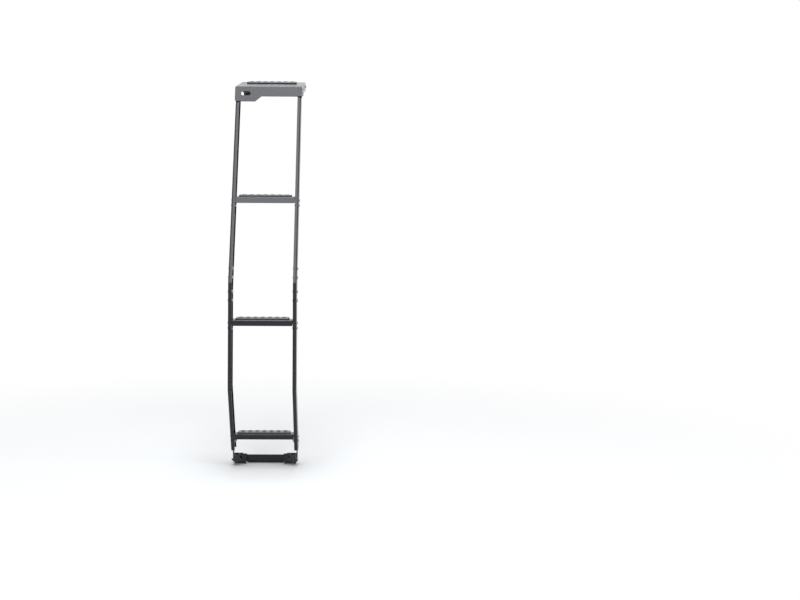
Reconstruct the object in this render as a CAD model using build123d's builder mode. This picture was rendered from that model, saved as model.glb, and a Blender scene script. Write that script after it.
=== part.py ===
from build123d import *
import os
from math import cos, radians, sin, tan

os.makedirs("parts", exist_ok=True)

# Vehicle ladder in folded steel sheet, in millimetres.
# X runs across the ladder, Y towards the vehicle and Z up.
# The origin is in the middle of the lower bracket's flat back face, which bears on the vehicle.

# Sheet, folds and bolt holes
SHEET = 3.0
FOLD_R = 4.5  # outside radius of a fold
BOLT_HOLE = 6.6  # clearance hole for an M6 bolt
FIT_GAP = 0.5  # between cut ends that don't bear on each other

# Rails: channels with the web outside, in three straight runs that lean by these angles
RAIL_SPAN = 218.0  # over both webs
RAIL_DEPTH = 55.0
RAIL_FLANGE = 12.0
FOOT_Z = 38.0  # lower end of the rails
KNEE_Z = 254.0
KNEE_REACH = 185.0  # bearing face to the front of the knee, which stands out furthest
JOINT_Z = 595.0  # the upper rails butt on the lower ones here
FOOT_LEAN = -29.0
MIDDLE_LEAN = 5.5
UPPER_LEAN = 28.0

# Splice plates inside the rail joints
SPLICE_WIDTH = 36.0
SPLICE_REACH = 62.0  # along Z, each way from the joint
SPLICE_NEAR_BOLT = 22.0
SPLICE_FAR_BOLT = 50.0

# Steps: folded channels whose end tabs bolt to the rails' webs
LOWER_STEP_Z = 97.0  # top faces
MIDDLE_STEP_Z = 477.0
UPPER_STEP_Z = 864.0
STEP_DEPTH = 50.0
STEP_LIP = 19.0
STEP_SETBACK = 2.0  # behind the rails' front faces
STEP_END_GAP = 1.0  # to the edges of the rails' flanges
TAB_WIDTH = 32.0
TAB_HEIGHT = 38.0
TAB_BOLT_DROP = 12.0
TAB_BOLT_PITCH = 16.0

# Treads: pressed trays with two rows of raised grip holes
TREAD_LENGTH = 172.0
TREAD_WIDTH = 40.0
TREAD_HEIGHT = 6.0
TREAD_SHEET = 2.0
TREAD_CORNER_R = 5.0
TREAD_EDGE_R = 4.0
GRIP_R = 7.5
GRIP_HOLE_R = 4.5
GRIP_RISE = 0.7
GRIP_TAPER = 40.0
GRIP_COLUMNS = 7
GRIP_ROWS = 2
GRIP_PITCH = 23.0
GRIP_ROW_PITCH = 19.0

# Top plate: a folded tray that rises towards the vehicle, with a front lip along the rails
PLATE_Z = 1228.0  # front edge of its top face
PLATE_DEPTH = 270.0
PLATE_RISE = 5.5  # degrees
PLATE_FLANGE = 29.0
LIP_DEEP = 57.0  # front lip at its left end, down its slope
LIP_SHALLOW = 37.5  # and over the rest of its length
LIP_DEEP_LENGTH = 68.0
LIP_SLANT = 21.0
LIP_CORNER_R = 8.0  # at the lip's left end
LIP_GAP = 1.0  # between the lip and the rails
LIP_GUSSET = 14.0  # how far the side flanges run back from the lip, below their own edge
PLATE_BOLT_DROP = 9.5
PLATE_BOLT_PITCH = 11.0
TOP_TREAD_INSET = 160.0  # from the front edge to the tread
STRAP_SLOT_LENGTH = 34.0
STRAP_SLOT_HEIGHT = 16.0
STRAP_SLOT_EDGE = 19.0  # left end of the lip to the slot
STRAP_SLOT_DROP = 27.0  # top face to the slot's middle, down the lip

# Upper brackets: angles that hook over the vehicle's edge, on rubber pads
HOOK_LENGTH = 60.0
HOOK_WIDTH = 48.0
HOOK_DROP = 26.0  # underside of the plate to the foot's underside
HOOK_INSET = 6.0  # from the plate's far end
HOOK_LIP = 12.0
HOOK_SIDE_BOLTS = 34.0
HOOK_SIDE_BOLT_DROP = 14.0
HOOK_BOLT_PITCH = 28.0
HOOK_BOLT_HOLE = 9.0
PAD_THICKNESS = 4.0
PAD_EDGE = 3.0

# Star knobs on M8 studs
KNOB_Z = 10.0
KNOB_INSET = 17.0  # from the outer web to the knob's axis
KNOB_R = 17.0
KNOB_THICKNESS = 12.0
KNOB_LOBES = 5
KNOB_VALLEY_R = 8.8
KNOB_VALLEY_CIRCLE_R = 19.0  # through the valleys' centres
KNOB_LOBE_EDGE_R = 2.0  # where a lobe turns into a valley
KNOB_EDGE_R = 1.4  # around the front face
KNOB_HUB_R = 8.5
KNOB_HUB_LENGTH = 6.5
KNOB_DISH_R = 6.0
KNOB_DISH_DEPTH = 1.2
KNOB_SEAT_GAP = 0.3
STUD_R = 4.0
STUD_REACH = 14.0  # past the back of the lower bracket's ear
STUD_HOLE = 9.0

# Foot brackets, which hang the knobs below the rails
FOOT_SETBACK = 27.0  # rail's front edge to the bracket's front face, at the rail's end
FOOT_FLANGE_WIDTH = 34.0
FOOT_FLANGE_HEIGHT = 30.0
FOOT_LEG_WIDTH = 32.0
FOOT_LEG_TOP = 8.0  # below the lower step's top
FOOT_ENTRY = 12.0  # height over which the leg widens inside the rail

# Lower bracket: a hat section whose back face bears on the vehicle, with a hook under it
BRACKET_WIDTH = 127.0
BRACKET_HEIGHT = 24.0  # of the bearing face
BRACKET_EAR_HEIGHT = 24.0
BRACKET_EAR_GAP = 2.0  # between an ear and the foot bracket's leg
BRACKET_HOOK_REACH = 22.0
BRACKET_HOOK_LIP = 10.0


# Side view of the rails. A run is its front face's Y at Z 0, its slope and its stretch,
# which is how far the face moves along Y for each millimetre of depth into the rail.
def run_through(y, z, lean):
    slope = tan(radians(lean))
    return y - z * slope, slope, 1 / cos(radians(lean))


def y_on(run, z, depth=0.0):
    start, slope, stretch = run
    return start + z * slope + depth * stretch


def corner(below, above, depth):
    shift = above[0] - below[0] + depth * (above[2] - below[2])
    z = shift / (below[1] - above[1])
    return y_on(below, z, depth), z


FOOT_RUN = run_through(-KNEE_REACH, KNEE_Z, FOOT_LEAN)
MIDDLE_RUN = run_through(-KNEE_REACH, KNEE_Z, MIDDLE_LEAN)
UPPER_RUN = run_through(y_on(MIDDLE_RUN, JOINT_Z), JOINT_Z, UPPER_LEAN)
RAIL_MIDDLE = RAIL_DEPTH / 2
WEB_INSIDE = RAIL_SPAN / 2 - SHEET
BEND_R = FOLD_R - SHEET  # inside radius of a fold
STEP_TOPS = {"lower": LOWER_STEP_Z, "middle": MIDDLE_STEP_Z, "upper": UPPER_STEP_Z}
STEP_RUNS = {"lower": FOOT_RUN, "middle": MIDDLE_RUN, "upper": UPPER_RUN}

# The top plate's own plane starts at the middle of its front edge, and its lip runs along the rails.
RISE_SIN = sin(radians(PLATE_RISE))
RISE_COS = cos(radians(PLATE_RISE))
LEAN_SIN = sin(radians(UPPER_LEAN))
LEAN_COS = cos(radians(UPPER_LEAN))
PLATE_Y = y_on(UPPER_RUN, PLATE_Z, -LIP_GAP - SHEET)
PLATE_WIDTH = RAIL_SPAN + 2 * SHEET
PLATE_TOP = Plane(origin=(0, PLATE_Y, PLATE_Z), x_dir=(1, 0, 0), z_dir=(0, -RISE_SIN, RISE_COS))
PLATE_SIDE = Plane(origin=PLATE_TOP.origin, x_dir=PLATE_TOP.y_dir, z_dir=(1, 0, 0))
LIP_FRONT = Plane(origin=PLATE_TOP.origin, x_dir=(1, 0, 0), z_dir=(0, -LEAN_COS, LEAN_SIN))


def z_under_plate(y, drop):
    return PLATE_Z + (y - PLATE_Y) * RISE_SIN / RISE_COS - drop / RISE_COS


def rail_under_plate(depth, drop):
    rise = RISE_SIN / RISE_COS
    start = UPPER_RUN[0] + depth * UPPER_RUN[2]
    z = (z_under_plate(0, drop) + start * rise) / (1 - UPPER_RUN[1] * rise)
    return y_on(UPPER_RUN, z, depth), z


def lower_rail_side(front, back):
    joint = [corner(MIDDLE_RUN, UPPER_RUN, depth) for depth in (front, back)]
    knee = [corner(FOOT_RUN, MIDDLE_RUN, depth) for depth in (front, back)]
    foot = [(y_on(FOOT_RUN, FOOT_Z, depth), FOOT_Z) for depth in (front, back)]
    return foot[0], knee[0], joint[0], joint[1], knee[1], foot[1]


def upper_rail_side(front, back):
    joint = [corner(MIDDLE_RUN, UPPER_RUN, depth) for depth in (front, back)]
    top = [rail_under_plate(depth, SHEET + FIT_GAP) for depth in (front, back)]
    return joint[0], top[0], top[1], joint[1]


# Bolt centres in the side view, on the rails' middle line
def step_bolts(name):
    heights = [STEP_TOPS[name] - TAB_BOLT_DROP - row * TAB_BOLT_PITCH for row in range(2)]
    return [(y_on(STEP_RUNS[name], z, RAIL_MIDDLE), z) for z in heights]


def splice_bolts(run, sign):
    joint_z = corner(MIDDLE_RUN, UPPER_RUN, RAIL_MIDDLE)[1]
    heights = [joint_z + sign * reach for reach in (SPLICE_NEAR_BOLT, SPLICE_FAR_BOLT)]
    return [(y_on(run, z, RAIL_MIDDLE), z) for z in heights]


LOWER_SPLICE_BOLTS = splice_bolts(MIDDLE_RUN, -1)
UPPER_SPLICE_BOLTS = splice_bolts(UPPER_RUN, 1)
PLATE_BOLTS = [rail_under_plate(RAIL_MIDDLE, PLATE_BOLT_DROP + row * PLATE_BOLT_PITCH) for row in range(2)]


def write(name, part):
    part.label = name
    export_step(part, f"parts/{name}.step")


def write_pair(name, right_part):
    write(f"{name}_left", mirror(right_part, about=Plane.YZ))
    write(f"{name}_right", right_part)


def rises(edge):
    return abs(edge.tangent_at(0.5).Z) > 0.5


# Right-hand rail: the side outline is extruded, then hollowed from the inside to leave a web and two flanges
def rail(side_outline, bolts):
    with BuildPart() as hollow:
        with BuildSketch(Plane.YZ.offset(WEB_INSIDE)):
            with BuildLine():
                Polyline(*side_outline(SHEET, RAIL_DEPTH - SHEET), close=True)
            make_face()
        extrude(amount=-RAIL_FLANGE)
        fillet(hollow.edges().group_by(Axis.X)[-1].filter_by(rises), BEND_R)
    with BuildPart() as channel:
        with BuildSketch(Plane.YZ.offset(RAIL_SPAN / 2)):
            with BuildLine():
                Polyline(*side_outline(0, RAIL_DEPTH), close=True)
            make_face()
        extrude(amount=-RAIL_FLANGE)
        fillet(channel.edges().group_by(Axis.X)[-1].filter_by(rises), FOLD_R)
        add(hollow.part, mode=Mode.SUBTRACT)
        with BuildSketch(Plane.YZ.offset(RAIL_SPAN / 2)):
            with Locations(*bolts):
                Circle(BOLT_HOLE / 2)
        extrude(amount=-SHEET, mode=Mode.SUBTRACT)
    return channel.part


LOWER_RAIL_BOLTS = step_bolts("lower") + step_bolts("middle") + LOWER_SPLICE_BOLTS
UPPER_RAIL_BOLTS = step_bolts("upper") + UPPER_SPLICE_BOLTS + PLATE_BOLTS
write_pair("lower_rail", rail(lower_rail_side, LOWER_RAIL_BOLTS))
write_pair("upper_rail", rail(upper_rail_side, UPPER_RAIL_BOLTS))


# Splice plate: a flat dog-leg on the inside of the webs, across the rail joint
SPLICE_SIDES = [RAIL_MIDDLE - SPLICE_WIDTH / 2, RAIL_MIDDLE + SPLICE_WIDTH / 2]
SPLICE_Z = corner(MIDDLE_RUN, UPPER_RUN, RAIL_MIDDLE)[1]
splice_front, splice_back = [
    [
        (y_on(MIDDLE_RUN, SPLICE_Z - SPLICE_REACH, depth), SPLICE_Z - SPLICE_REACH),
        corner(MIDDLE_RUN, UPPER_RUN, depth),
        (y_on(UPPER_RUN, SPLICE_Z + SPLICE_REACH, depth), SPLICE_Z + SPLICE_REACH),
    ]
    for depth in SPLICE_SIDES
]
with BuildPart() as splice_plate:
    with BuildSketch(Plane.YZ.offset(WEB_INSIDE)):
        with BuildLine():
            Polyline(*splice_front, *reversed(splice_back), close=True)
        make_face()
        with Locations(*LOWER_SPLICE_BOLTS, *UPPER_SPLICE_BOLTS):
            Circle(BOLT_HOLE / 2, mode=Mode.SUBTRACT)
    extrude(amount=-SHEET)
write_pair("splice_plate", splice_plate.part)


# Step: a channel between the rails, its front lip along their lean, with a tongue at each end
# that turns down into a bolted tab
STEP_HALF = RAIL_SPAN / 2 - RAIL_FLANGE - STEP_END_GAP


def step_front(name):
    return y_on(STEP_RUNS[name], STEP_TOPS[name]) + STEP_SETBACK


def step(name, seat):
    top, run, front = STEP_TOPS[name], STEP_RUNS[name], step_front(name)
    tab = [
        (y_on(run, z, RAIL_MIDDLE) + sign * TAB_WIDTH / 2, z)
        for sign, z in ((-1, top), (1, top), (1, top - TAB_HEIGHT), (-1, top - TAB_HEIGHT))
    ]
    with BuildPart() as channel:
        with BuildSketch(Plane.YZ):
            with BuildLine():
                FilletPolyline(
                    (y_on(run, top - STEP_LIP) + STEP_SETBACK, top - STEP_LIP),
                    (front, top),
                    (front + STEP_DEPTH, top),
                    (front + STEP_DEPTH, top - STEP_LIP),
                    radius=FOLD_R,
                )
                offset(amount=SHEET, side=Side.RIGHT)
            make_face()
        extrude(amount=STEP_HALF, both=True)
        with BuildSketch(Plane.XY.offset(top)):
            with Locations((0, (tab[0][0] + tab[1][0]) / 2)):
                Rectangle(2 * seat, TAB_WIDTH)
        extrude(amount=-SHEET)
        for end in (seat - SHEET, -seat):
            with BuildSketch(Plane.YZ.offset(end)):
                with BuildLine():
                    Polyline(*tab, close=True)
                make_face()
                with Locations(*step_bolts(name)):
                    Circle(BOLT_HOLE / 2, mode=Mode.SUBTRACT)
            extrude(amount=SHEET)
        outer_ends = channel.edges().filter_by(Axis.Y).group_by(Axis.Z)[-1]
        fillet([edge for edge in outer_ends if abs(edge.center().X) > STEP_HALF], SHEET)
    return channel.part


# Tread: an inverted tray with rounded edges, seated on a plane, with raised grip holes in rows
def tread(seat):
    with BuildPart() as tray:
        with BuildSketch(seat):
            RectangleRounded(TREAD_LENGTH, TREAD_WIDTH, TREAD_CORNER_R)
        extrude(amount=TREAD_HEIGHT)
        fillet(tray.faces().sort_by(Axis(seat.origin, seat.z_dir))[-1].edges(), TREAD_EDGE_R)
        with BuildSketch(seat):
            RectangleRounded(
                TREAD_LENGTH - 2 * TREAD_SHEET, TREAD_WIDTH - 2 * TREAD_SHEET, TREAD_CORNER_R - TREAD_SHEET
            )
        extrude(amount=TREAD_HEIGHT - TREAD_SHEET, mode=Mode.SUBTRACT)
        with BuildSketch(seat.offset(TREAD_HEIGHT)):
            with GridLocations(GRIP_PITCH, GRIP_ROW_PITCH, GRIP_COLUMNS, GRIP_ROWS):
                Circle(GRIP_R)
        extrude(amount=GRIP_RISE, taper=GRIP_TAPER)
        with BuildSketch(seat.offset(TREAD_HEIGHT - TREAD_SHEET)):
            with GridLocations(GRIP_PITCH, GRIP_ROW_PITCH, GRIP_COLUMNS, GRIP_ROWS):
                Circle(GRIP_HOLE_R)
        extrude(amount=TREAD_SHEET + GRIP_RISE, mode=Mode.SUBTRACT)
    return tray.part


# The lower step's tabs bear on the foot brackets' legs, the other steps' on the webs.
for name, top in STEP_TOPS.items():
    seat = WEB_INSIDE - SHEET if name == "lower" else WEB_INSIDE
    write(f"{name}_step", step(name, seat))
    write(f"{name}_tread", tread(Plane((0, step_front(name) + STEP_DEPTH / 2, top))))


# Top plate: a block with rounded top edges, hollowed from below and behind,
# then trimmed to the side flanges' height and the lip's stepped lower edge
LIP_TILT = radians(UPPER_LEAN + PLATE_RISE)
BLOCK_DEPTH = LIP_DEEP * cos(LIP_TILT) + SHEET * sin(LIP_TILT)


# How far behind the plate's front edge a line is that runs at a depth into the lip, at a drop below the plate
def behind_lip(depth, drop):
    return depth / cos(LIP_TILT) - drop * tan(LIP_TILT)


HOOK_OUTSIDE = PLATE_WIDTH / 2 - SHEET
HOOK_SIDE_MIDDLE = PLATE_DEPTH - HOOK_INSET - HOOK_LENGTH / 2
HOOK_SIDE_CENTRES = [
    (HOOK_SIDE_MIDDLE + sign * HOOK_SIDE_BOLTS / 2, -HOOK_SIDE_BOLT_DROP) for sign in (-1, 1)
]
LEFT_END = -PLATE_WIDTH / 2
with BuildPart() as top_plate:
    with BuildSketch(PLATE_SIDE):
        with BuildLine():
            Polyline(
                (0, 0),
                (behind_lip(0, BLOCK_DEPTH), -BLOCK_DEPTH),
                (PLATE_DEPTH, -BLOCK_DEPTH),
                (PLATE_DEPTH, 0),
                close=True,
            )
        make_face()
    extrude(amount=PLATE_WIDTH / 2, both=True)
    top_edges = top_plate.faces().sort_by(Axis(PLATE_TOP.origin, PLATE_TOP.z_dir))[-1].edges()
    far_edge = top_edges.sort_by(Axis(PLATE_TOP.origin, PLATE_TOP.y_dir))[-1]
    fillet([edge for edge in top_edges if edge != far_edge], FOLD_R)
    with BuildSketch(PLATE_SIDE):
        with BuildLine():
            Polyline(
                (behind_lip(SHEET, SHEET), -SHEET),
                (behind_lip(SHEET, BLOCK_DEPTH), -BLOCK_DEPTH),
                (PLATE_DEPTH, -BLOCK_DEPTH),
                (PLATE_DEPTH, -SHEET),
                close=True,
            )
        make_face()
    extrude(amount=HOOK_OUTSIDE, both=True, mode=Mode.SUBTRACT)
    with BuildSketch(PLATE_SIDE):
        with BuildLine():
            Polyline(
                (behind_lip(SHEET, BLOCK_DEPTH), -BLOCK_DEPTH),
                (behind_lip(SHEET, PLATE_FLANGE) + LIP_GUSSET, -PLATE_FLANGE),
                (PLATE_DEPTH, -PLATE_FLANGE),
                (PLATE_DEPTH, -BLOCK_DEPTH),
                close=True,
            )
        make_face()
    extrude(amount=PLATE_WIDTH, both=True, mode=Mode.SUBTRACT)
    with BuildSketch(LIP_FRONT):
        with BuildLine():
            CenterArc((LEFT_END + LIP_CORNER_R, LIP_CORNER_R - LIP_DEEP), LIP_CORNER_R, 180, 90)
            Polyline(
                (LEFT_END + LIP_CORNER_R, -LIP_DEEP),
                (LEFT_END + LIP_DEEP_LENGTH, -LIP_DEEP),
                (LEFT_END + LIP_DEEP_LENGTH + LIP_SLANT, -LIP_SHALLOW),
                (-LEFT_END, -LIP_SHALLOW),
                (-LEFT_END, -PLATE_DEPTH),
                (LEFT_END, -PLATE_DEPTH),
                (LEFT_END, LIP_CORNER_R - LIP_DEEP),
            )
        make_face()
    extrude(amount=-PLATE_DEPTH, mode=Mode.SUBTRACT)
    with BuildSketch(LIP_FRONT):
        with Locations((LEFT_END + STRAP_SLOT_EDGE + STRAP_SLOT_LENGTH / 2, -STRAP_SLOT_DROP)):
            SlotOverall(STRAP_SLOT_LENGTH, STRAP_SLOT_HEIGHT)
    extrude(amount=-SHEET, mode=Mode.SUBTRACT)
    with BuildSketch(PLATE_SIDE):
        with Locations(*HOOK_SIDE_CENTRES):
            Circle(BOLT_HOLE / 2)
    extrude(amount=PLATE_WIDTH, both=True, mode=Mode.SUBTRACT)
    with BuildSketch(Plane.YZ):
        with Locations(*PLATE_BOLTS):
            Circle(BOLT_HOLE / 2)
    extrude(amount=PLATE_WIDTH, both=True, mode=Mode.SUBTRACT)
write("top_plate", top_plate.part)
TOP_TREAD_SEAT = PLATE_TOP.moved(Location((0, TOP_TREAD_INSET + TREAD_WIDTH / 2, 0)))
write("top_tread", tread(TOP_TREAD_SEAT))


# Upper bracket, right-hand: a leg inside the plate's side flange, a level foot and a lip that hooks down
HOOK_END = PLATE_Y + (PLATE_DEPTH - HOOK_INSET) * RISE_COS
HOOK_START = HOOK_END - HOOK_LENGTH
HOOK_Z = z_under_plate(HOOK_START, SHEET) - HOOK_DROP
HOOK_MIDDLE_X = HOOK_OUTSIDE - SHEET - (HOOK_WIDTH - SHEET) / 2
PAD_MIDDLE_Y = (HOOK_START + HOOK_END - SHEET) / 2
FOOT_HOLES = [(HOOK_MIDDLE_X, PAD_MIDDLE_Y + sign * HOOK_BOLT_PITCH / 2) for sign in (-1, 1)]
with BuildPart() as upper_bracket:
    with BuildSketch(Plane.YZ.offset(HOOK_OUTSIDE)):
        with BuildLine():
            Polyline(
                (HOOK_START, HOOK_Z),
                (HOOK_END, HOOK_Z),
                (HOOK_END, z_under_plate(HOOK_END, SHEET + FIT_GAP)),
                (HOOK_START, z_under_plate(HOOK_START, SHEET + FIT_GAP)),
                close=True,
            )
        make_face()
    extrude(amount=-SHEET)
    with BuildSketch(PLATE_SIDE):
        with Locations(*HOOK_SIDE_CENTRES):
            Circle(BOLT_HOLE / 2)
    extrude(amount=PLATE_WIDTH, mode=Mode.SUBTRACT)
    with BuildSketch(Plane.XY.offset(HOOK_Z)):
        with Locations((HOOK_OUTSIDE, HOOK_START)):
            Rectangle(HOOK_WIDTH, HOOK_LENGTH, align=(Align.MAX, Align.MIN))
        with Locations(*FOOT_HOLES):
            Circle(HOOK_BOLT_HOLE / 2, mode=Mode.SUBTRACT)
    extrude(amount=SHEET)
    fold = upper_bracket.edges().filter_by(Axis.Y).group_by(Axis.Z)[0].sort_by(Axis.X)[-1]
    fillet(fold, FOLD_R)
    with BuildSketch(Plane.XY.offset(HOOK_Z + SHEET)):
        with Locations((HOOK_OUTSIDE - FOLD_R, HOOK_END)):
            Rectangle(HOOK_WIDTH - FOLD_R, SHEET, align=(Align.MAX, Align.MAX))
    extrude(amount=-SHEET - HOOK_LIP)
write_pair("upper_bracket", upper_bracket.part)

PAD_WIDTH = HOOK_WIDTH - SHEET - 2 * PAD_EDGE
PAD_LENGTH = HOOK_LENGTH - SHEET - 2 * PAD_EDGE
with BuildPart() as bracket_pad:
    with BuildSketch(Plane.XY.offset(HOOK_Z)):
        with Locations((HOOK_MIDDLE_X, PAD_MIDDLE_Y)):
            RectangleRounded(PAD_WIDTH, PAD_LENGTH, PAD_EDGE)
        with Locations(*FOOT_HOLES):
            Circle(HOOK_BOLT_HOLE / 2, mode=Mode.SUBTRACT)
    extrude(amount=-PAD_THICKNESS)
write_pair("bracket_pad", bracket_pad.part)


# Foot bracket, right-hand: a leg inside the lower rail and a flange across the front that carries the knob
KNOB_X = RAIL_SPAN / 2 - KNOB_INSET
FLANGE_Y = y_on(FOOT_RUN, FOOT_Z) + FOOT_SETBACK
LEG_TOP = STEP_TOPS["lower"] - FOOT_LEG_TOP
LEG_FRONT = RAIL_MIDDLE - FOOT_LEG_WIDTH / 2
LEG_BACK = RAIL_MIDDLE + FOOT_LEG_WIDTH / 2
LEG_REAR_Y = FLANGE_Y + FOOT_LEG_WIDTH
FLANGE_TOP = KNOB_Z + FOOT_FLANGE_HEIGHT / 2
FLANGE_BOTTOM = KNOB_Z - FOOT_FLANGE_HEIGHT / 2
with BuildPart() as foot_bracket:
    with BuildSketch(Plane.XY.offset(FLANGE_BOTTOM)):
        with BuildLine():
            FilletPolyline(
                (WEB_INSIDE - FOOT_FLANGE_WIDTH, FLANGE_Y),
                (WEB_INSIDE, FLANGE_Y),
                (WEB_INSIDE, LEG_REAR_Y),
                radius=FOLD_R,
            )
            offset(amount=SHEET, side=Side.LEFT)
        make_face()
    extrude(amount=FOOT_FLANGE_HEIGHT)
    with BuildSketch(Plane.YZ.offset(WEB_INSIDE)):
        with BuildLine():
            Polyline(
                (FLANGE_Y + FOLD_R, FLANGE_BOTTOM),
                (LEG_REAR_Y, FLANGE_BOTTOM),
                (LEG_REAR_Y, (LEG_REAR_Y - y_on(FOOT_RUN, 0, LEG_BACK)) / FOOT_RUN[1]),
                (y_on(FOOT_RUN, LEG_TOP, LEG_BACK), LEG_TOP),
                (y_on(FOOT_RUN, LEG_TOP, LEG_FRONT), LEG_TOP),
                (y_on(FOOT_RUN, FOOT_Z + FOOT_ENTRY, LEG_FRONT), FOOT_Z + FOOT_ENTRY),
                (FLANGE_Y + FOLD_R, FLANGE_TOP),
                close=True,
            )
        make_face()
        with Locations(*step_bolts("lower")):
            Circle(BOLT_HOLE / 2, mode=Mode.SUBTRACT)
    extrude(amount=-SHEET)
    with BuildSketch(Plane.XZ.offset(-FLANGE_Y)):
        with Locations((KNOB_X, KNOB_Z)):
            Circle(STUD_HOLE / 2)
    extrude(amount=-SHEET, mode=Mode.SUBTRACT)
write_pair("foot_bracket", foot_bracket.part)


# Lower bracket: the hat's two ears take the studs, and its web ends in a hook below the bearing face
EAR_BACK = FLANGE_Y + 2 * SHEET
EAR_END = WEB_INSIDE - SHEET - BRACKET_EAR_GAP
HALF_WIDTH = BRACKET_WIDTH / 2
EAR_TOP = KNOB_Z + BRACKET_EAR_HEIGHT / 2
EAR_BOTTOM = KNOB_Z - BRACKET_EAR_HEIGHT / 2
WEB_TOP = BRACKET_HEIGHT / 2
WEB_BOTTOM = -BRACKET_HEIGHT / 2
with BuildPart() as lower_bracket:
    with BuildSketch(Plane.XY.offset(WEB_BOTTOM)):
        with BuildLine():
            FilletPolyline(
                (-EAR_END, EAR_BACK),
                (-HALF_WIDTH, EAR_BACK),
                (-HALF_WIDTH, 0),
                (HALF_WIDTH, 0),
                (HALF_WIDTH, EAR_BACK),
                (EAR_END, EAR_BACK),
                radius=FOLD_R,
            )
            offset(amount=SHEET, side=Side.RIGHT)
        make_face()
    extrude(amount=EAR_TOP - WEB_BOTTOM)
    with BuildSketch(Plane.YZ):
        with BuildLine():
            Polyline((EAR_BACK, EAR_TOP), (0, WEB_TOP), (0, EAR_TOP), close=True)
        make_face()
        with BuildLine():
            Polyline((EAR_BACK, EAR_BOTTOM), (-FOLD_R, WEB_BOTTOM), (EAR_BACK, WEB_BOTTOM), close=True)
        make_face()
    extrude(amount=EAR_END, both=True, mode=Mode.SUBTRACT)
    with BuildSketch(Plane.XZ.offset(-EAR_BACK)):
        with Locations((-KNOB_X, KNOB_Z), (KNOB_X, KNOB_Z)):
            Circle(STUD_HOLE / 2)
    extrude(amount=-2 * SHEET, both=True, mode=Mode.SUBTRACT)
    with BuildSketch(Plane.YZ):
        with BuildLine():
            FilletPolyline(
                (0, 0),
                (0, WEB_BOTTOM),
                (BRACKET_HOOK_REACH, WEB_BOTTOM),
                (BRACKET_HOOK_REACH, WEB_BOTTOM + BRACKET_HOOK_LIP),
                radius=BEND_R,
            )
            offset(amount=SHEET, side=Side.RIGHT)
        make_face()
    extrude(amount=HALF_WIDTH - FOLD_R, both=True)
write("lower_bracket", lower_bracket.part)


# Star knob, right-hand, and its stud. The axis runs along Y, with one lobe straight down.
HUB_END = FLANGE_Y - KNOB_SEAT_GAP
KNOB_BACK = HUB_END - KNOB_HUB_LENGTH
with BuildPart() as knob:
    with BuildSketch(Plane.XZ.offset(-KNOB_BACK)):
        with Locations((KNOB_X, KNOB_Z)):
            Circle(KNOB_R)
            with PolarLocations(KNOB_VALLEY_CIRCLE_R, KNOB_LOBES, start_angle=90):
                Circle(KNOB_VALLEY_R, mode=Mode.SUBTRACT)
    extrude(amount=KNOB_THICKNESS)
    fillet(knob.edges().filter_by(Axis.Y), KNOB_LOBE_EDGE_R)
    fillet(knob.faces().sort_by(Axis.Y)[0].edges(), KNOB_EDGE_R)
    with BuildSketch(Plane.XZ.offset(-KNOB_BACK)):
        with Locations((KNOB_X, KNOB_Z)):
            Circle(KNOB_HUB_R)
    extrude(amount=-KNOB_HUB_LENGTH)
    with BuildSketch(Plane.XZ.offset(KNOB_THICKNESS - KNOB_BACK)):
        with Locations((KNOB_X, KNOB_Z)):
            Circle(KNOB_DISH_R)
    extrude(amount=-KNOB_DISH_DEPTH, mode=Mode.SUBTRACT)
write_pair("knob", knob.part)

with BuildPart() as stud:
    with BuildSketch(Plane.XZ.offset(-HUB_END)):
        with Locations((KNOB_X, KNOB_Z)):
            Circle(STUD_R)
    extrude(amount=-(KNOB_SEAT_GAP + 2 * SHEET + STUD_REACH))
write_pair("stud", stud.part)
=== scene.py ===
from math import atan2, cos, pi, radians

import bmesh
import bpy
from mathutils import Matrix, Vector


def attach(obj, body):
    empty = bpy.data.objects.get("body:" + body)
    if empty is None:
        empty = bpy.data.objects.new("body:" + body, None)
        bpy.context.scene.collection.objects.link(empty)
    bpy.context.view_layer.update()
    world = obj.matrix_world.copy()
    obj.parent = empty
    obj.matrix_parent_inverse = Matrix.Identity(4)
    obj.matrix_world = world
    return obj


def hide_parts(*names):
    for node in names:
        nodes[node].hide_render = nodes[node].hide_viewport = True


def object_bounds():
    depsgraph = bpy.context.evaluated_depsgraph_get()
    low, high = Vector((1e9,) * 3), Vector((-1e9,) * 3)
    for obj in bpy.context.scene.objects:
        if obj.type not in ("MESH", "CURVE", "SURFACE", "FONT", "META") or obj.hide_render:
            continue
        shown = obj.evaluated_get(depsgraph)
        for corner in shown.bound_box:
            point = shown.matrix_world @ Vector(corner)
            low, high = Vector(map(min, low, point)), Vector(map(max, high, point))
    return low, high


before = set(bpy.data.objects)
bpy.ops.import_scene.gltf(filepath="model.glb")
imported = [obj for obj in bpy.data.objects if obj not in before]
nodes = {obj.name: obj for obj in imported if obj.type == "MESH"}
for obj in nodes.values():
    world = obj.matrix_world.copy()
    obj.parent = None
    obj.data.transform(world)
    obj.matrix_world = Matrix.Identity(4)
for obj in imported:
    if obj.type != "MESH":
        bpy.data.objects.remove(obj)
cad_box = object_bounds()
MM = 0.001


# Rails: two cranked channels a side, laser-cut from 3 mm mild steel and folded with the web outside.
# They are powder coated satin black: fine orange-peel grain, a soft wide highlight and slightly
# greyer, drier patches where the film is thin.
def linear(hex_colour):
    channels = [int(hex_colour[i:i + 2], 16) / 255 for i in (1, 3, 5)]
    return [c / 12.92 if c <= 0.04045 else ((c + 0.055) / 1.055) ** 2.4 for c in channels] + [1.0]


def add_node(tree, kind, links=None, **settings):
    node = tree.nodes.new(kind)
    for name, value in settings.items():
        if hasattr(node, name):
            setattr(node, name, value)
        else:
            node.inputs[name.replace("_", " ")].default_value = value
    for socket, source in (links or {}).items():
        tree.links.new(source, node.inputs[socket])
    return node


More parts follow.
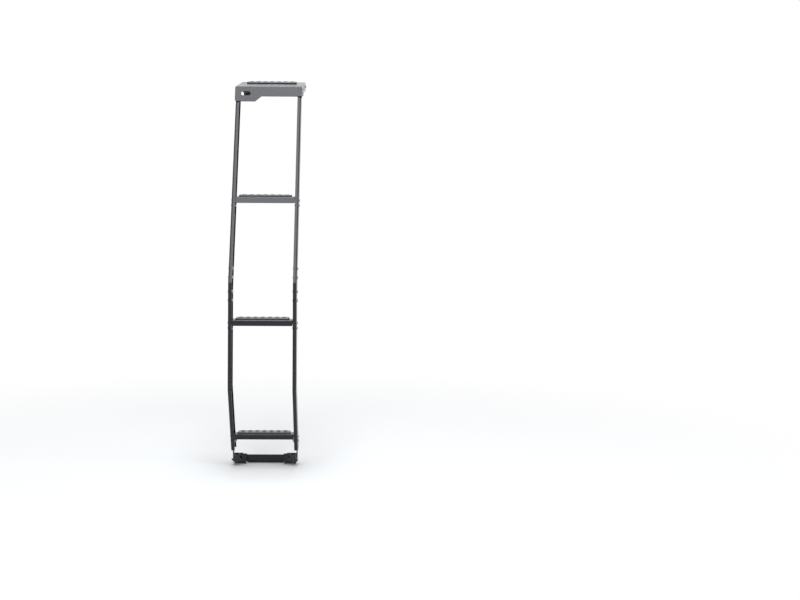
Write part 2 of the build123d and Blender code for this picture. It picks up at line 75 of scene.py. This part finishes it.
def surface(name):
    material = bpy.data.materials.new(name)
    material.use_nodes = True
    return material, material.node_tree, material.node_tree.nodes["Principled BSDF"]


def dress(material, *names):
    for name in names:
        mesh = nodes[name].data
        mesh.materials.clear()
        mesh.materials.append(material)


def both_sides(*names):
    return [f"{name}_{side}" for name in names for side in ("left", "right")]


# The real grain is about 0.4 mm. It is drawn at 1.6 mm, because the photo's scale hides anything finer.
COAT_GRAIN = 1.6 * MM
COAT_PATCH = 70 * MM
COAT_DARK, COAT_GREY = "#0f1115", "#1a1c21"
powder_coat, tree, coat = surface("satin_black_powder_coat")
place = add_node(tree, "ShaderNodeTexCoord").outputs["Object"]
grain = add_node(tree, "ShaderNodeTexNoise", {"Vector": place}, Scale=1 / COAT_GRAIN, Detail=3.0)
patch = add_node(tree, "ShaderNodeTexNoise", {"Vector": place}, Scale=1 / COAT_PATCH, Detail=5.0)
tone = add_node(tree, "ShaderNodeMix", {"Factor": patch.outputs["Fac"]}, data_type="RGBA")
tone.inputs[6].default_value, tone.inputs[7].default_value = linear(COAT_DARK), linear(COAT_GREY)
shine = add_node(
    tree, "ShaderNodeMapRange", {"Value": patch.outputs["Fac"]},
    From_Min=0.3, From_Max=0.7, To_Min=0.17, To_Max=0.27,
)
peel = add_node(tree, "ShaderNodeBump", {"Height": grain.outputs["Fac"]}, Strength=0.35, Distance=0.12 * MM)
tree.links.new(tone.outputs[2], coat.inputs["Base Color"])
tree.links.new(shine.outputs["Result"], coat.inputs["Roughness"])
tree.links.new(peel.outputs["Normal"], coat.inputs["Normal"])
coat.inputs["IOR"].default_value = 1.5
coat.inputs["Specular IOR Level"].default_value = 0.4
dress(powder_coat, *both_sides("lower_rail", "upper_rail"))


# Splice plates: flat dog-legs of the same 3 mm steel inside the rail joints.
# They are cut, coated with the rails and clamped to the webs by four bolts each.
dress(powder_coat, *both_sides("splice_plate"))


# Steps: folded channels across the rails. Each end has a tongue that turns down into a bolted tab.
# Same steel, same coat.
STEPS = ("lower_step", "middle_step", "upper_step")
dress(powder_coat, *STEPS)


# Treads: trays pressed from 2 mm steel, with two rows of raised grip holes under the climber's boots.
# They have the same coat. The tops of the raised rims carry a painted highlight, a lighter grey broken up by
# noise, and are glossier there.
RIM_HEIGHT = 6.0 * MM  # above the tread's seat, where the rims start
# Height above the seat at which the painted highlight on the rims is full
RIM_FULL_HIGHLIGHT = 6.7 * MM
PLATE_RISE = radians(5.5)
TREAD_SEATS = {
    "lower_tread": (Vector((0, -71.0, 97)) * MM, 0),
    "middle_tread": (Vector((0, -136.5, 477)) * MM, 0),
    "upper_tread": (Vector((0, 17.9, 864)) * MM, 0),
    "top_tread": (Vector((0, 359.0, 1245.3)) * MM, PLATE_RISE),
}
HIGHLIGHT_PATCH = 5 * MM
for name, (seat, rise) in TREAD_SEATS.items():
    grip_coat, tree, coat = surface(f"highlit_grip_coat_{name}")
    place = add_node(tree, "ShaderNodeTexCoord").outputs["Object"]
    level = add_node(tree, "ShaderNodeMapping", {"Vector": place}, vector_type="TEXTURE")
    level.inputs["Location"].default_value = seat
    level.inputs["Rotation"].default_value = (rise, 0, 0)
    height = add_node(tree, "ShaderNodeSeparateXYZ", {"Vector": level.outputs["Vector"]})
    # Noise that breaks the painted highlight on the rims into patches
    highlight_patches = add_node(tree, "ShaderNodeTexNoise", {"Vector": place}, Scale=1 / HIGHLIGHT_PATCH, Detail=4.0)
    grain = add_node(tree, "ShaderNodeTexNoise", {"Vector": place}, Scale=1 / COAT_GRAIN, Detail=3.0)
    on_rim = add_node(
        tree, "ShaderNodeMapRange", {"Value": height.outputs["Z"]}, From_Min=RIM_HEIGHT, From_Max=RIM_FULL_HIGHLIGHT,
    )
    # Painted highlight: the rim tops turn from the coat's dark grey to a lighter grey, patchy with the noise
    painted_rim_highlight = add_node(
        tree, "ShaderNodeMath", {0: on_rim.outputs["Result"], 1: highlight_patches.outputs["Fac"]}, operation="MULTIPLY",
    )
    tone = add_node(tree, "ShaderNodeMix", {"Factor": painted_rim_highlight.outputs["Value"]}, data_type="RGBA")
    tone.inputs[6].default_value, tone.inputs[7].default_value = linear("#17191d"), linear("#55585d")
    shine = add_node(tree, "ShaderNodeMapRange", {"Value": painted_rim_highlight.outputs["Value"]}, To_Min=0.22, To_Max=0.14)
    peel = add_node(
        tree, "ShaderNodeBump", {"Height": grain.outputs["Fac"]}, Strength=0.4, Distance=0.12 * MM,
    )
    tree.links.new(tone.outputs[2], coat.inputs["Base Color"])
    tree.links.new(shine.outputs["Result"], coat.inputs["Roughness"])
    tree.links.new(peel.outputs["Normal"], coat.inputs["Normal"])
    coat.inputs["IOR"].default_value = 1.5
    dress(grip_coat, name)


# Top plate: one folded 3 mm tray with a stepped front lip, a plain strap slot and two side flanges.
# Two bolts a side hold it to the rails. Coated as the rails are.
dress(powder_coat, "top_plate")


# Upper brackets: folded angles that hook over the vehicle's edge, bolted inside the plate's flanges.
# Their feet sit on moulded rubber pads, dull black with a faint bloom.
dress(powder_coat, *both_sides("upper_bracket"))
BLOOM, PORE = 9 * MM, 1.2 * MM
rubber, tree, pad = surface("moulded_black_rubber")
place = add_node(tree, "ShaderNodeTexCoord").outputs["Object"]
bloom = add_node(tree, "ShaderNodeTexNoise", {"Vector": place}, Scale=1 / BLOOM, Detail=4.0)
pores = add_node(tree, "ShaderNodeTexNoise", {"Vector": place}, Scale=1 / PORE, Detail=2.0)
tone = add_node(tree, "ShaderNodeMix", {"Factor": bloom.outputs["Fac"]}, data_type="RGBA")
tone.inputs[6].default_value, tone.inputs[7].default_value = linear("#131313"), linear("#242423")
skin = add_node(tree, "ShaderNodeBump", {"Height": pores.outputs["Fac"]}, Strength=0.3, Distance=0.15 * MM)
tree.links.new(tone.outputs[2], pad.inputs["Base Color"])
tree.links.new(skin.outputs["Normal"], pad.inputs["Normal"])
pad.inputs["Roughness"].default_value = 0.78
dress(rubber, *both_sides("bracket_pad"))


# Foot brackets and lower bracket: folded 3 mm steel that the star knobs draw together.
# The lower bracket bears on the vehicle and hooks under its edge. Both have the rails' coat.
dress(powder_coat, *both_sides("foot_bracket"), "lower_bracket")


# Star knobs: five-lobed glass-filled nylon mouldings with a spark-eroded grain,
# closed by a pressed-in cap of the same plastic at the middle of the front.
KNOB_X, KNOB_Z = 92 * MM, 10 * MM
KNOB_FRONT = -57.07 * MM
SPARK_PIT, FLOW_CLOUD = 1.1 * MM, 12 * MM
knob_plastic, tree, nylon = surface("grained_black_nylon")
place = add_node(tree, "ShaderNodeTexCoord").outputs["Object"]
spark = add_node(tree, "ShaderNodeTexVoronoi", {"Vector": place}, Scale=1 / SPARK_PIT)
cloud = add_node(tree, "ShaderNodeTexNoise", {"Vector": place}, Scale=1 / FLOW_CLOUD, Detail=3.0)
tone = add_node(tree, "ShaderNodeMix", {"Factor": cloud.outputs["Fac"]}, data_type="RGBA")
tone.inputs[6].default_value, tone.inputs[7].default_value = linear("#141517"), linear("#202124")
skin = add_node(tree, "ShaderNodeBump", {"Height": spark.outputs["Distance"]}, Strength=0.25, Distance=0.1 * MM)
tree.links.new(tone.outputs[2], nylon.inputs["Base Color"])
tree.links.new(skin.outputs["Normal"], nylon.inputs["Normal"])
nylon.inputs["IOR"].default_value = 1.53
nylon.inputs["Roughness"].default_value = 0.42
dress(knob_plastic, *both_sides("knob"))


# A turned shape about the local Z axis, from a profile of radius and height in millimetres.
def turned(profile, steps=24, closed=False):
    bm = bmesh.new()
    points = [bm.verts.new((radius * MM, 0, height * MM)) for radius, height in profile]
    pairs = list(zip(points, points[1:])) + ([(points[-1], points[0])] if closed else [])
    edges = [bm.edges.new(pair) for pair in pairs]
    bmesh.ops.spin(
        bm, geom=points + edges, cent=(0, 0, 0), axis=(0, 0, 1), angle=2 * pi, steps=steps, use_merge=True,
    )
    bmesh.ops.remove_doubles(bm, verts=bm.verts, dist=0.01 * MM)
    bmesh.ops.recalc_face_normals(bm, faces=bm.faces)
    return bm


def put(bm, into, matrix):
    bmesh.ops.transform(bm, matrix=matrix, verts=bm.verts)
    mesh = bpy.data.meshes.new("piece")
    bm.to_mesh(mesh)
    bm.free()
    into.from_mesh(mesh)
    bpy.data.meshes.remove(mesh)


def finished(name, bm, material, body, sharp=35):
    mesh = bpy.data.meshes.new(name)
    bm.to_mesh(mesh)
    bm.free()
    mesh.shade_smooth()
    mesh.set_sharp_from_angle(angle=radians(sharp))
    mesh.materials.append(material)
    piece = bpy.data.objects.new(name, mesh)
    bpy.context.scene.collection.objects.link(piece)
    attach(piece, body)
    return piece


FORWARD = Matrix.Rotation(radians(90), 4, "X")  # local Z to -Y, out of a knob's front
CAP_PROFILE = ((0, -0.25), (3.2, -0.35), (5.0, -0.7), (5.6, -1.15))
for side, sign in (("left", -1), ("right", 1)):
    cap = bmesh.new()
    put(turned(CAP_PROFILE), cap, Matrix.Translation((sign * KNOB_X, KNOB_FRONT, KNOB_Z)) @ FORWARD)
    finished(f"knob_cap_{side}", cap, knob_plastic, f"{side}_knob")


# Studs: M8 threaded steel rods moulded into the knobs, bright zinc plated, with a rolled thread.
# They screw into hexagon nuts welded behind the lower bracket's ears.
SPANGLE, HAZE = 2.2 * MM, 5 * MM
zinc, tree, plating = surface("bright_zinc_plate")
place = add_node(tree, "ShaderNodeTexCoord").outputs["Object"]
spangle = add_node(tree, "ShaderNodeTexVoronoi", {"Vector": place}, Scale=1 / SPANGLE)
haze = add_node(tree, "ShaderNodeTexNoise", {"Vector": place}, Scale=1 / HAZE, Detail=4.0)
tone = add_node(tree, "ShaderNodeMix", {"Factor": haze.outputs["Fac"]}, data_type="RGBA")
tone.inputs[6].default_value, tone.inputs[7].default_value = linear("#9fa2a4"), linear("#c9cac6")
shine = add_node(tree, "ShaderNodeMapRange", {"Value": spangle.outputs["Distance"]}, To_Min=0.24, To_Max=0.42)
tree.links.new(tone.outputs[2], plating.inputs["Base Color"])
tree.links.new(shine.outputs["Result"], plating.inputs["Roughness"])
plating.inputs["Metallic"].default_value = 1.0

HUB_END = -38.57 * MM
STUD_LENGTH = 20.3
THREAD_PITCH = 1.25
THREAD_OUTSIDE, THREAD_ROOT = 4.0, 3.4
THREAD_TURNS = int(STUD_LENGTH / THREAD_PITCH) - 1
CORE_OVERLAP = 0.1
TIP_CHAMFER = 0.6
TURN_STEPS = 24
EAR_BACK = -32.27 * MM
BACKWARD = Matrix.Rotation(radians(-90), 4, "X")  # local Z to +Y, towards the vehicle


def threaded_stud():
    bm = bmesh.new()
    flank = [(THREAD_ROOT, 0), (THREAD_OUTSIDE, THREAD_PITCH / 2), (THREAD_ROOT, THREAD_PITCH)]
    points = [bm.verts.new((radius * MM, 0, height * MM)) for radius, height in flank]
    edges = [bm.edges.new(pair) for pair in zip(points, points[1:])]
    bmesh.ops.spin(
        bm, geom=points + edges, cent=(0, 0, 0), axis=(0, 0, 1), angle=2 * pi * THREAD_TURNS,
        dvec=(0, 0, THREAD_PITCH * MM / TURN_STEPS), steps=TURN_STEPS * THREAD_TURNS, use_merge=False,
    )
    bmesh.ops.remove_doubles(bm, verts=bm.verts, dist=0.02 * MM)
    bmesh.ops.recalc_face_normals(bm, faces=bm.faces)
    core = THREAD_ROOT + CORE_OVERLAP
    shoulder = STUD_LENGTH - TIP_CHAMFER
    rod = ((0, 0), (core, 0), (core, shoulder), (core - TIP_CHAMFER, STUD_LENGTH), (0, STUD_LENGTH))
    put(turned(rod), bm, Matrix.Identity(4))
    return bm


def six_sided(bm, outside, across_flats):
    for vert in bm.verts:
        if vert.co.xy.length > outside * MM:
            turn = atan2(vert.co.y, vert.co.x) % (pi / 3) - pi / 6
            reach = across_flats * MM / 2 / cos(turn)
            vert.co.xy = vert.co.xy.normalized() * reach
    return bm


NUT_PROFILE = ((4.15, 0), (7.0, 0), (7.5, 0.5), (7.5, 6.0), (7.0, 6.5), (4.15, 6.5))
weld_nuts = bmesh.new()
for side, sign in (("left", -1), ("right", 1)):
    stud = bmesh.new()
    put(threaded_stud(), stud, Matrix.Translation((sign * KNOB_X, HUB_END, KNOB_Z)) @ BACKWARD)
    stud = finished(f"threaded_stud_{side}", stud, zinc, f"{side}_knob")
    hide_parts(f"stud_{side}")
    nut = six_sided(turned(NUT_PROFILE, closed=True), 7.2, 13.0)
    put(nut, weld_nuts, Matrix.Translation((sign * KNOB_X, EAR_BACK, KNOB_Z)) @ BACKWARD)
finished("weld_nuts", weld_nuts, zinc, "ladder")


# Bolts: M6 button heads outside the webs and flanges, with washers and lock nuts inside.
# They are plain stainless steel, cold headed, with a grey drawn skin that shines where a tool has rubbed.
RUB_MARK = 2.5 * MM
stainless, tree, steel = surface("drawn_stainless_steel")
place = add_node(tree, "ShaderNodeTexCoord").outputs["Object"]
rubbed = add_node(tree, "ShaderNodeTexNoise", {"Vector": place}, Scale=1 / RUB_MARK, Detail=5.0)
tone = add_node(tree, "ShaderNodeMix", {"Factor": rubbed.outputs["Fac"]}, data_type="RGBA")
tone.inputs[6].default_value, tone.inputs[7].default_value = linear("#63666a"), linear("#b4b6b8")
shine = add_node(tree, "ShaderNodeMapRange", {"Value": rubbed.outputs["Fac"]}, To_Min=0.42, To_Max=0.2)
tree.links.new(tone.outputs[2], steel.inputs["Base Color"])
tree.links.new(shine.outputs["Result"], steel.inputs["Roughness"])
steel.inputs["Metallic"].default_value = 1.0

WASHER_PROFILE = ((3.2, 0), (6.0, 0), (6.0, 1.2), (5.8, 1.4), (3.2, 1.4))
HEAD_PROFILE = ((0, 1.1), (2.3, 1.1), (2.3, 3.0), (3.0, 3.1), (4.0, 2.7), (4.8, 1.8), (5.25, 0.7), (5.25, 0))
LOCK_NUT_PROFILE = ((3.1, 1.4), (5.2, 1.4), (5.6, 1.9), (5.6, 5.6), (5.0, 6.2))
COLLAR_PROFILE = ((5.0, 5.8), (4.7, 6.9), (4.1, 7.4), (3.1, 7.4))
TIP_PROFILE = ((3.1, 1.0), (3.0, 8.0), (2.5, 8.6), (0, 8.6))
SOCKET_ACROSS = 4.0


def socket_head():
    bm = turned(HEAD_PROFILE)
    for vert in bm.verts:
        if 2.0 * MM < vert.co.xy.length < 2.6 * MM:
            turn = atan2(vert.co.y, vert.co.x) % (pi / 3) - pi / 6
            vert.co.xy = vert.co.xy.normalized() * (SOCKET_ACROSS * MM / 2 / cos(turn))
    return bm


def bolt_sets(name, centres, web, grip):
    bolts = bmesh.new()
    for sign in (-1, 1):
        outwards = Matrix.Rotation(sign * radians(90), 4, "Y")
        inwards = Matrix.Rotation(-sign * radians(90), 4, "Y")
        for y, z in centres:
            seat = Matrix.Translation((sign * web * MM, y * MM, z * MM)) @ outwards
            back = Matrix.Translation((sign * (web - grip) * MM, y * MM, z * MM)) @ inwards
            put(socket_head(), bolts, seat)
            put(turned(WASHER_PROFILE, closed=True), bolts, back)
            put(six_sided(turned(LOCK_NUT_PROFILE), 5.4, 10.0), bolts, back)
            put(turned(COLLAR_PROFILE), bolts, back)
            put(turned(TIP_PROFILE), bolts, back)
    finished(name, bolts, stainless, "ladder")


RAIL_WEB, PLATE_SIDE = 109, 112
TWO_SHEETS, THREE_SHEETS = 6, 9
bolt_sets("lower_step_bolts", ((-59.88, 85.0), (-51.01, 69.0)), RAIL_WEB, THREE_SHEETS)
bolt_sets("middle_step_bolts", ((-137.06, 465.0), (-138.6, 449.0)), RAIL_WEB, TWO_SHEETS)
bolt_sets("upper_step_bolts", ((15.63, 852.0), (7.12, 836.0)), RAIL_WEB, TWO_SHEETS)
bolt_sets(
    "splice_bolts",
    ((-127.43, 564.92), (-130.13, 536.92), (-113.62, 608.92), (-98.73, 636.92)),
    RAIL_WEB, TWO_SHEETS,
)
bolt_sets("top_plate_bolts", ((212.13, 1221.56), (205.94, 1209.91)), PLATE_SIDE, TWO_SHEETS)
bolt_sets("upper_bracket_bolts", ((397.22, 1234.86), (431.06, 1238.12)), PLATE_SIDE, TWO_SHEETS)


# Floor: a plain pale studio floor under the ladder's foot, which fades into the white around it.
FLOOR_NEAR, FLOOR_FAR = 0.3, 2.2
FLOOR_REACH = 30.0
floor_paint, tree, paint = surface("pale_studio_floor")
paint.inputs["Base Color"].default_value = linear("#efefed")
paint.inputs["Roughness"].default_value = 0.9
place = add_node(tree, "ShaderNodeTexCoord").outputs["Object"]
away = add_node(tree, "ShaderNodeVectorMath", {0: place}, operation="LENGTH")
fade = add_node(
    tree, "ShaderNodeMapRange", {"Value": away.outputs["Value"]},
    interpolation_type="SMOOTHSTEP", From_Min=FLOOR_NEAR, From_Max=FLOOR_FAR,
)
path = add_node(tree, "ShaderNodeLightPath")


def seen_directly(tree, path):
    direct = path.outputs["Is Camera Ray"]
    for other in ("Is Glossy Ray", "Is Transmission Ray"):
        direct = add_node(
            tree, "ShaderNodeMath", {0: direct, 1: path.outputs[other]}, operation="MAXIMUM",
        ).outputs["Value"]
    return direct


share = add_node(
    tree, "ShaderNodeMath", {0: fade.outputs["Result"], 1: seen_directly(tree, path)}, operation="MULTIPLY",
)
white = add_node(tree, "ShaderNodeEmission", Strength=1.0)
blend = add_node(
    tree, "ShaderNodeMixShader",
    {0: share.outputs["Value"], 1: paint.outputs["BSDF"], 2: white.outputs["Emission"]},
)
tree.links.new(blend.outputs["Shader"], tree.nodes["Material Output"].inputs["Surface"])
ground = bmesh.new()
bmesh.ops.create_circle(ground, cap_ends=True, segments=64, radius=FLOOR_REACH)
floor_mesh = bpy.data.meshes.new("floor")
bmesh.ops.translate(ground, verts=ground.verts, vec=(0, 0, cad_box[0].z))
ground.to_mesh(floor_mesh)
ground.free()
floor_mesh.materials.append(floor_paint)
floor = bpy.data.objects.new("floor", floor_mesh)
bpy.context.scene.collection.objects.link(floor)


# Light: a white studio with three soft boxes. A large one above the camera is what the raked rails mirror,
# a long narrow one straight above lights the treads and the folded edges,
# and a weaker one on the right lights the outer side of the rails.
COOL_WHITE = linear("#f4f8ff")[:3]
SKY_LIGHT, SKY_SEEN = 0.45, 1.0
AIM_HEIGHT = 0.8
world = bpy.data.worlds.new("studio")
bpy.context.scene.world = world
world.use_nodes = True
tree = world.node_tree
path = add_node(tree, "ShaderNodeLightPath")
sky = tree.nodes["Background"]
sky.inputs["Color"].default_value = (1, 1, 1, 1)
level = add_node(
    tree, "ShaderNodeMapRange", {"Value": seen_directly(tree, path)}, To_Min=SKY_LIGHT, To_Max=SKY_SEEN,
)
tree.links.new(level.outputs["Result"], sky.inputs["Strength"])


def soft_box(name, place, target, width, length, power):
    lamp = bpy.data.lights.new(name, "AREA")
    lamp.shape, lamp.size, lamp.size_y, lamp.energy = "RECTANGLE", width, length, power
    lamp.color = COOL_WHITE
    holder = bpy.data.objects.new(name, lamp)
    holder.location = place
    holder.rotation_euler = (Vector(target) - Vector(place)).to_track_quat("-Z", "Y").to_euler()
    bpy.context.scene.collection.objects.link(holder)


soft_box("overhead_box", (0.2, -2.4, 4.2), (0, 0.1, AIM_HEIGHT), width=2.6, length=2.6, power=98)
soft_box("top_box", (0, 0.2, 4.4), (0, 0.2, AIM_HEIGHT), width=1.0, length=3.0, power=85)
soft_box("side_box", (3.2, -1.8, 1.6), (0, 0, 0.7), width=1.8, length=1.8, power=22)


# Camera: at the photograph's place, 5 m behind the ladder and a little to its right.
# It looks slightly down and to the right, with a very small roll.
PITCH_DOWN, YAW_RIGHT, ROLL = radians(5.43), radians(1.08), radians(0.35)
LEVEL = radians(90)
camera = bpy.data.cameras.new("camera")
camera.sensor_width, camera.lens = 36, 70
viewer = bpy.data.objects.new("camera", camera)
viewer.location = (0.345, -5.085, 1.011)
aim = Matrix.Rotation(-YAW_RIGHT, 3, "Z") @ Matrix.Rotation(LEVEL - PITCH_DOWN, 3, "X")
viewer.rotation_euler = (aim @ Matrix.Rotation(ROLL, 3, "Z")).to_euler()
bpy.context.scene.collection.objects.link(viewer)
bpy.context.scene.camera = viewer
bpy.context.scene.view_settings.view_transform = "Standard"
